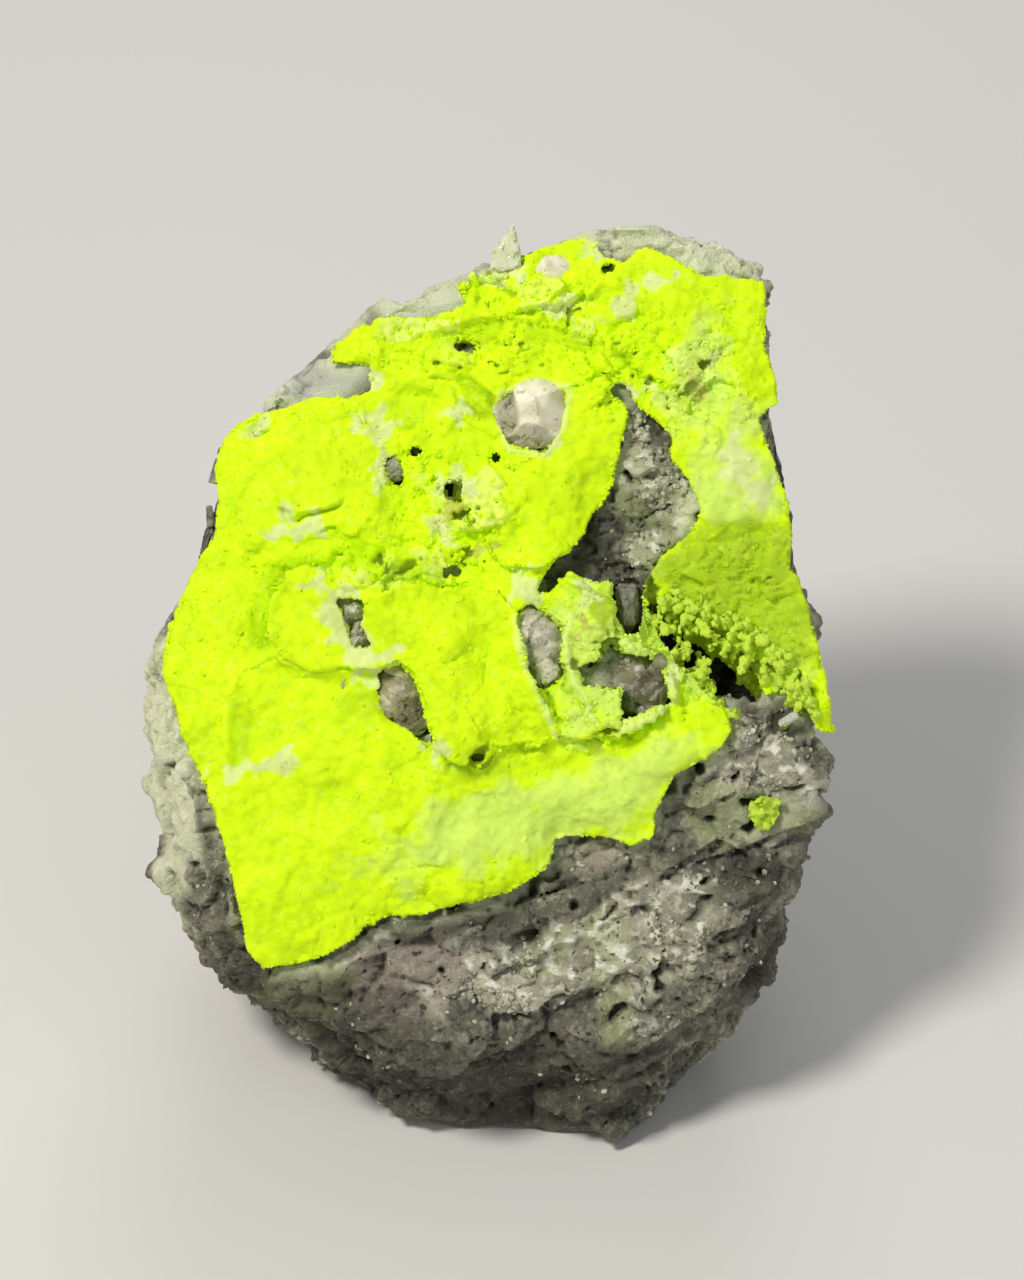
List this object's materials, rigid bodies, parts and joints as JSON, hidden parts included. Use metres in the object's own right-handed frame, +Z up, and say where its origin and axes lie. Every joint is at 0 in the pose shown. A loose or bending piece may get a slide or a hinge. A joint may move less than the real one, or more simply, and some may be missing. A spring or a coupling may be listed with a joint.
{
  "type": "autunite mineral specimen",
  "caption": "Cabinet mineral specimen: a lumpy yellow-green autunite crust on the sloping face of a grey host rock, standing on a flat cut.",
  "frame": {"origin": "middle of the bounding box on the surface that the specimen stands on", "axes": "+Z up from the flat foot to the top edge, -Y towards the viewer of the sloping crusted face, +X to that viewer's right"},
  "size_m": [0.0706, 0.0594, 0.0824],
  "materials": {
    "rock": "rough broken grey granitic matrix, granular and pitted",
    "crust": "sugary, lumpy, fluorescent yellow-green crust of tiny crystals",
    "druse": "knobby olive-green small crystals",
    "quartz": "translucent pinkish-grey quartz, vitreous",
    "smoky_quartz": "dark smoky quartz, vitreous"
  },
  "bodies": {
    "root": {"host_rock": "rock", "autunite_crust": "crust", "autunite_patch": "crust", "pocket_druse": "druse", "quartz_grain_upper": "quartz", "quartz_grain_middle": "quartz", "quartz_grain_lower": "smoky_quartz", "quartz_grain_left": "quartz", "quartz_grain_top": "quartz", "smoky_prism": "smoky_quartz", "white_prism": "quartz", "quartz_blade": "quartz"}
  },
  "joints": []
}
